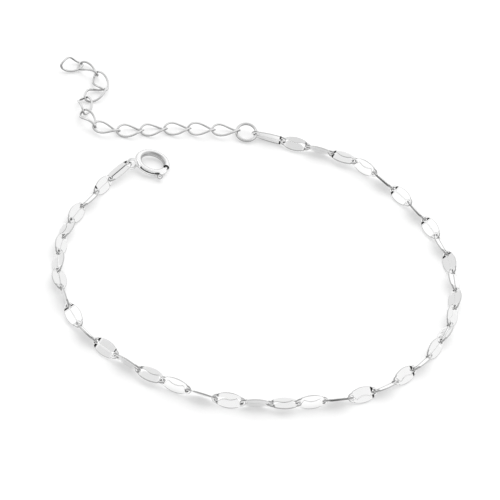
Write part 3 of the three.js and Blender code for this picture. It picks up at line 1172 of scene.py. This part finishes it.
@dataclass
class SpringRingClasp:
    """The clasp: a bent tube with a mouth, a thumb knob's slot and a soldered eye, and the bolt inside.

    Angles are in degrees. Those of the mouth, slot, bolt, knob and eye run round the case; the slot's side is
    how far it sits above the middle of the tube's outer side.
    """

    diameter: float = 5.15
    tube: float = 0.96
    bore: float = 0.82
    mouth: tuple[float, float] = (-24.0, -3.0)
    slot: tuple[float, float] = (-128.0, -58.0)
    slot_width: float = 0.3
    slot_side: float = 25.0
    lip: float = 0.04
    sections_to_slot: int = 64
    slot_sections: int = 32
    sections_past_slot: int = 22
    lip_sections: int = 3
    slot_rows: int = 4
    tube_rows: int = 42
    # painted shade on the inside of the ring, standing in for the shaded floor that it reflects
    inside_marks: tuple[float, float] = (0.2, 0.6)
    inside_shade: float = 0.85
    bolt_wire: float = 0.44
    bolt_arc: tuple[float, float] = (-140.0, 5.0)
    bolt_sections: int = 58
    bolt_end_sections: int = 7
    bolt_end_from: float = 0.05
    knob: float = -61.0
    knob_stem: float = 0.18
    knob_diameter: float = 0.78
    knob_reach: float = 0.52
    knob_neck: float = 0.16
    knob_tip: float = 0.01
    knob_sections: int = 22
    stem_sections: int = 5
    round_sides: int = 24
    eye_angle: float = -150.0
    eye_turn: float = -60.0
    eye_diameter: float = 1.75
    eye_wire: float = 0.36
    eye_steps: int = 64
    eye_sides: int = 20

    def ring_radius(self) -> float:
        """The radius of the case's centre line."""
        return (self.diameter - self.tube) / 2.0

    def placement(self, joint: dict) -> Placement:
        """The clasp's own axes: its ring lies in XY, about the joint's pivot.

        Args:
            joint: The bolt's joint, with its pivot and axis.

        Returns:
            The placement.
        """
        up = -np.array(joint["axis"])
        ahead = unit(np.cross((0.0, 1.0, 0.0), up))
        return Placement(np.array(joint["pos_m"]) / MM, np.array([ahead, np.cross(up, ahead), up]))

    def tube_points(self, angle: Array, radius: Array, turn: Array) -> Array:
        """Points round the bent tube.

        A point lies on a circle of the section's radius, square to the case's ring, at an angle round it:
        the ring's radius plus the radius times the cosine of the turn outwards, and its sine upwards.

        Args:
            angle: The place of each section round the case, in degrees.
            radius: The radius of each section.
            turn: The angles round a section, in radians.

        Returns:
            The points, section after section.
        """
        ring = np.radians(angle)[:, None]
        out = self.ring_radius() + radius[:, None] * np.cos(turn)[None, :]
        up = radius[:, None] * np.sin(turn)[None, :]
        return np.stack([out * np.cos(ring), out * np.sin(ring), up], axis=-1).reshape(-1, 3)

    def case_surface(self) -> tuple[Array, Array, Array]:
        """The case as one closed surface: out along the tube, round one lip, back along the bore.

        The faces over the slot are left out of both skins, and a wall joins the skins round that gap.

        Returns:
            The points, the faces, and the least painted shade of each point: the ring's inside is painted
            darker.
        """
        start, end = self.mouth[1], self.mouth[0] + 360.0
        slot_start, slot_end = self.slot[0] + 360.0, self.slot[1] + 360.0
        lip_turn = math.degrees(self.lip / self.ring_radius())
        stretch = np.concatenate([
            np.linspace(start + lip_turn, slot_start, self.sections_to_slot, endpoint=False),
            np.linspace(slot_start, slot_end, self.slot_sections, endpoint=False),
            np.linspace(slot_end, end - lip_turn, self.sections_past_slot),
        ])
        outer, inner = self.tube / 2.0, self.bore / 2.0
        wall = np.linspace(0.0, 1.0, self.lip_sections + 2)[1:-1]
        round_lip = np.sqrt(1.0 - (2.0 * wall - 1.0) ** 2)
        angle = np.concatenate([
            stretch, stretch[-1] + lip_turn * round_lip, stretch[::-1], stretch[0] - lip_turn * round_lip
        ])
        skin = np.ones(len(stretch))
        radius = np.concatenate([
            outer * skin, outer + (inner - outer) * wall, inner * skin, inner + (outer - inner) * wall
        ])
        half = math.degrees(self.slot_width / self.tube)
        above, below = self.slot_side + half, self.slot_side - half
        slot_turn = np.linspace(below, above, self.slot_rows + 1)
        rest = np.linspace(above, below + 360.0, self.tube_rows + 2)[1:-1]
        turn = np.radians(np.concatenate([slot_turn, rest]))
        rows, columns = len(turn), len(angle)
        faces = closed_grid(columns, rows)
        column, row = faces[:, 0] // rows, faces[:, 0] % rows
        last = len(stretch) + len(wall) + len(stretch) - 1
        first, end = self.slot_columns()
        in_slot = (column >= first) & (column < end)
        in_bore_slot = (last - column > first) & (last - column <= end)
        keep = ~((in_slot | in_bore_slot) & (row < self.slot_rows))
        # painted shade: the ring's inside is painted darker
        inside = self.inside_shade * smooth_step(*self.inside_marks, -np.cos(turn))
        faces = np.concatenate([faces[keep], self.slot_wall(rows, last)])
        return self.tube_points(angle, radius, turn), faces, np.tile(inside, columns)

    def slot_columns(self) -> tuple[int, int]:
        """The numbers of the sections where the slot begins and ends."""
        return self.sections_to_slot, self.sections_to_slot + self.slot_sections

    def slot_wall(self, rows: int, last: int) -> Array:
        """The faces that join the tube's skin to the bore's skin round the slot.

        Args:
            rows: The points round a section.
            last: The section of the bore that faces the tube's first section.

        Returns:
            The faces.
        """
        first, end = self.slot_columns()
        along, across = np.arange(first, end), np.arange(self.slot_rows)
        columns = np.concatenate([
            along, np.full_like(across, end), along[::-1] + 1, np.full_like(across, first)
        ])
        sides = np.concatenate([
            np.zeros_like(along), across, np.full_like(along, self.slot_rows), across[::-1] + 1
        ])
        outer = columns * rows + sides
        inner = (last - columns) * rows + sides
        return np.stack([outer, np.roll(outer, -1), np.roll(inner, -1), inner], axis=1)

    def eye_points(self) -> Array:
        """The eye: a ring of round wire that stands against the case, turned about its own spoke.

        Returns:
            The points, section after section.
        """
        radius = (self.eye_diameter - self.eye_wire) / 2.0
        points = wire_ring(radius, self.eye_wire, self.eye_turn, self.eye_steps, self.eye_sides)
        points[:, 0] += self.ring_radius() + self.tube / 2.0 + radius
        spoke = math.radians(self.eye_angle)
        swing = np.array([[math.cos(spoke), math.sin(spoke), 0.0],
                          [-math.sin(spoke), math.cos(spoke), 0.0], [0.0, 0.0, 1.0]])
        return points @ swing

    def knob_points(self, reach: Array, radius: Array) -> Array:
        """The knob and its stem, which stand out of the bolt through the middle of the slot.

        A point lies on a circle of the section's radius, square to the knob's spoke, at its reach along it.

        Args:
            reach: How far each section lies out from the ring's centre line.
            radius: The radius of each section.

        Returns:
            The points, section after section.
        """
        spoke = math.radians(self.knob)
        turn = full_turn(self.round_sides)
        rise = self.bore / 2.0 * math.sin(math.radians(self.slot_side))
        out = np.repeat(self.ring_radius() + reach, self.round_sides)
        side = (radius[:, None] * np.cos(turn)).ravel()
        up = (radius[:, None] * np.sin(turn)).ravel() + rise
        return np.stack([out * math.cos(spoke) - side * math.sin(spoke),
                         out * math.sin(spoke) + side * math.cos(spoke), up], axis=1)

    def knob_profile(self) -> tuple[Array, Array]:
        """The stem and the button on it: a thin round pin that swells into a ball.

        Returns:
            The reach along the spoke and the radius of each section.
        """
        ball = self.knob_diameter / 2.0
        middle = self.tube / 2.0 + self.knob_reach
        stem = np.linspace(0.0, middle - ball, self.stem_sections, endpoint=False)
        turn = np.linspace(self.knob_neck * np.pi, np.pi, self.knob_sections)
        reach = np.concatenate([stem, middle - ball * np.cos(turn)])
        radius = np.concatenate([np.full(len(stem), self.knob_stem / 2.0), ball * np.sin(turn)])
        radius[-1] = ball * self.knob_tip
        return reach, radius

    def bolt_profile(self) -> tuple[Array, Array]:
        """The bolt's sections: quarter circles at its ends, full wire between.

        Returns:
            The angle round the case and the radius of each section.
        """
        radius = self.bolt_wire / 2.0
        end = math.degrees(radius / self.ring_radius())
        turn = np.linspace(self.bolt_end_from, 0.5, self.bolt_end_sections) * np.pi
        rise, inset = radius * np.sin(turn), end * (1.0 - np.cos(turn))
        low, high = self.bolt_arc
        wire = np.linspace(low + end, high - end, self.bolt_sections + 2)[1:-1]
        angle = np.concatenate([low + inset, wire, high - inset[::-1]])
        return angle, np.concatenate([rise, np.full(self.bolt_sections, radius), rise[::-1]])

    def build(self, joint: dict) -> list[Piece]:
        """Makes the case, the eye, the bolt and the knob, each where the frame holds them.

        Args:
            joint: The bolt's joint, with its pivot and axis.

        Returns:
            The clasp's pieces.
        """
        place = self.placement(joint).place
        case, case_faces, inside = self.case_surface()
        eye_faces = closed_grid(self.eye_steps, self.eye_sides)
        angle, radius = self.bolt_profile()
        bolt = self.tube_points(angle, radius, full_turn(self.round_sides))
        bolt_faces = capped_tube(len(angle), self.round_sides)
        reach, radius = self.knob_profile()
        knob = self.knob_points(reach, radius)
        knob_faces = capped_tube(len(reach), self.round_sides)
        return [
            CLASP_TUBE.make("clasp_case", "clasp_case_silver", place(case), case_faces, least_shade=inside),
            CLASP_EYE.make("clasp_case", "clasp_eye_silver", place(self.eye_points()), eye_faces),
            CLASP_TUBE.make("clasp_bolt", "clasp_bolt_silver", place(bolt), bolt_faces, Body.BOLT),
            CLASP_KNOB.make("clasp_bolt", "clasp_knob_silver", place(knob), knob_faces, Body.BOLT),
        ]


# ---------------------------------------------------------------- studio


@dataclass(frozen=True)
class Patch:
    """An oval patch of the studio's surroundings.

    Attributes:
        name: What stands there.
        azimuth: Its direction in degrees: 0 is straight behind the bracelet, 90 to its right.
        elevation: Its height above the floor in degrees.
        half_width: Half its size sideways, in degrees.
        half_height: Half its size upwards, in degrees.
        soft: How much of the size its edge takes to fade.
        brightness: Its brightness.
    """

    name: str
    azimuth: float
    elevation: float
    half_width: float = 0.0
    half_height: float = 0.0
    soft: float = 0.5
    brightness: float = 0.0

    def direction(self) -> Vector:
        """The direction of the patch, from its azimuth and elevation.

        Returns:
            The unit vector towards it.
        """
        azimuth, elevation = math.radians(self.azimuth), math.radians(self.elevation)
        level = math.cos(elevation)
        return Vector((math.sin(azimuth) * level, math.cos(azimuth) * level, math.sin(elevation)))

    def cover(self, graph: NodeGraph, ray: Socket) -> Socket:
        """Works out how much of the patch a ray meets: 1 inside, 0 outside.

        The ray's sideways and upward shares are each divided by the patch's size; the length of the two
        together is 1 on the patch's edge. Rays that point away from the patch miss it.

        Args:
            graph: The world's nodes.
            ray: The ray's direction.

        Returns:
            The share.
        """
        ahead = self.direction()
        side = Vector((0.0, 0.0, 1.0)).cross(ahead).normalized()
        sideways = graph.dot(ray, side / math.sin(math.radians(self.half_width)))
        upwards = graph.dot(ray, ahead.cross(side) / math.sin(math.radians(self.half_height)))
        both = graph.add("CombineXYZ", "Vector", {"X": sideways, "Y": upwards})
        reach = graph.add("VectorMath", "Value", {0: both}, operation="LENGTH")
        edge = {"Value": reach, "From Min": 1.0 + self.soft / 2.0, "From Max": 1.0 - self.soft / 2.0}
        inside = graph.add("MapRange", "Result", edge, interpolation_type="SMOOTHSTEP")
        before = graph.combine("GREATER_THAN", graph.dot(ray, ahead), 0.0)
        return graph.combine("MULTIPLY", inside, before)


@dataclass
class Studio:
    """The pale floor, the light tent round it, the key light and the camera.

    Lengths are in metres but for the lens and its sensor, which are in mm, and angles are in degrees.
    """

    floor_half: float = 3.0
    tent_low: float = 0.93
    tent_high: float = 0.74
    tent_power: float = 3.0
    seen_tone: float = 1.0
    key_azimuth: float = 14.0
    key_elevation: float = 50.0
    key_distance: float = 2.0
    key_radius: float = 2.0
    key_power: float = 121.0
    camera_distance: float = 392.5 * MM
    camera_azimuth: float = 180.0
    camera_elevation: float = 41.0
    camera_roll: float = 11.3
    camera_aim: tuple[float, float, float] = (1.4007 * MM, -0.8733 * MM, 0.0)
    lens: float = 201.6
    sensor: float = 36.0

    def patches(self) -> tuple[Patch, ...]:
        """The tent's patches, from the widest and faintest to the dark opening for the camera.

        Returns:
            The patches, each laid over those before it.
        """
        return (
            Patch("right wall", 85.0, 20.0, 45.0, 30.0, 1.0, 0.96),
            Patch("back left corner", -50.0, 14.0, 22.0, 14.0, 1.0, 0.8),
            Patch("seam beside the soft box", -115.0, 40.0, 18.0, 20.0, 1.0, 0.78),
            Patch("soft box", -78.0, 43.0, 20.0, 15.0, 0.6, 1.08),
            Patch("opening for the camera", 180.0, 45.0, 46.0, 22.0, 0.2, 0.45),
        )

    def build_world(self) -> None:
        """Makes the surroundings: a pale tent that darkens with a power of the height, and its patches."""
        world = bpy.data.worlds.new("light tent")
        bpy.context.scene.world = world
        world.use_nodes = True
        graph = NodeGraph(world.node_tree)
        ray = graph.add("TexCoord", "Generated", {})
        height = graph.add("SeparateXYZ", "Z", {"Vector": ray})
        rise = graph.combine("POWER", height, self.tent_power)
        tones = {"Value": rise, "To Min": self.tent_low, "To Max": self.tent_high}
        tone = graph.add("MapRange", "Result", tones)
        for patch in self.patches():
            tone = graph.mix(patch.cover(graph, ray), tone, patch.brightness)
        strength = graph.mix(graph.add("LightPath", "Is Camera Ray", {}), tone, self.seen_tone)
        graph.join(world.node_tree.nodes["Background"], {"Strength": strength, "Color": grey(1.0)})

    def build_floor(self) -> None:
        """Makes the floor: one large square face at the height that the bracelet lies on."""
        half = self.floor_half
        mesh = bpy.data.meshes.new("floor")
        mesh.from_pydata([(-half, -half, 0.0), (half, -half, 0.0), (half, half, 0.0), (-half, half, 0.0)],
                         [], [(0, 1, 2, 3)])
        mesh.materials.append(PaleFloor().material())
        floor = bpy.data.objects.new("floor", mesh)
        bpy.context.scene.collection.objects.link(floor)

    def build_lamp(self, towards: Patch, distance: float, radius: float, power: float) -> None:
        """Makes a large round soft light that lights the floor; the silver mirrors the tent alone.

        Args:
            towards: The light's name and direction.
            distance: How far away it is.
            radius: Its radius.
            power: Its power in watts.
        """
        light = bpy.data.lights.new(towards.name, "AREA")
        light.shape = "DISK"
        light.size = 2.0 * radius
        light.energy = power
        lamp = bpy.data.objects.new(towards.name, light)
        turn = towards.direction().to_track_quat("Z", "Y").to_matrix().to_4x4()
        lamp.matrix_world = Matrix.Translation(towards.direction() * distance) @ turn
        lamp.visible_glossy = False
        bpy.context.scene.collection.objects.link(lamp)

    def build_camera(self) -> None:
        """Makes the camera, which looks down at the bracelet from the front and leans a little."""
        back = Patch("camera", self.camera_azimuth, self.camera_elevation).direction()
        lean = math.radians(self.camera_roll)
        level = Vector((1.0, 0.0, 0.0))
        upright = back.cross(level)
        right = level * math.cos(lean) + upright * math.sin(lean)
        up = upright * math.cos(lean) - level * math.sin(lean)
        data = bpy.data.cameras.new("camera")
        data.lens = self.lens
        data.sensor_width = self.sensor
        camera = bpy.data.objects.new("camera", data)
        turn = Matrix((right, up, back)).transposed().to_4x4()
        camera.matrix_world = Matrix.Translation(Vector(self.camera_aim) + back * self.camera_distance) @ turn
        bpy.context.scene.collection.objects.link(camera)
        bpy.context.scene.camera = camera

    def build(self) -> None:
        """Makes the whole studio."""
        bpy.context.scene.view_settings.view_transform = "Standard"
        self.build_world()
        self.build_floor()
        key = Patch("key light", self.key_azimuth, self.key_elevation)
        self.build_lamp(key, self.key_distance, self.key_radius, self.key_power)
        self.build_camera()
        LOG.info("studio: floor, tent, key light and camera")


def main() -> None:
    """Builds the bracelet piece by piece around its frame."""
    logging.basicConfig(level=logging.INFO, format="%(name)s: %(message)s")
    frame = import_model()
    nodes = frame["nodes"]
    ring = JumpRing()
    assemblies = {
        "loop of links": LinkLoop().build(nodes),
        "jump ring": ring.build(nodes),
        "extension chain": ExtensionChain().build(nodes, ring),
        "spring ring clasp": SpringRingClasp().build(frame["joints"][0]),
    }
    for name, pieces in assemblies.items():
        for piece in pieces:
            LOG.info("%s: %s", name, piece.name)
    Studio().build()


if __name__ == "__main__":
    main()
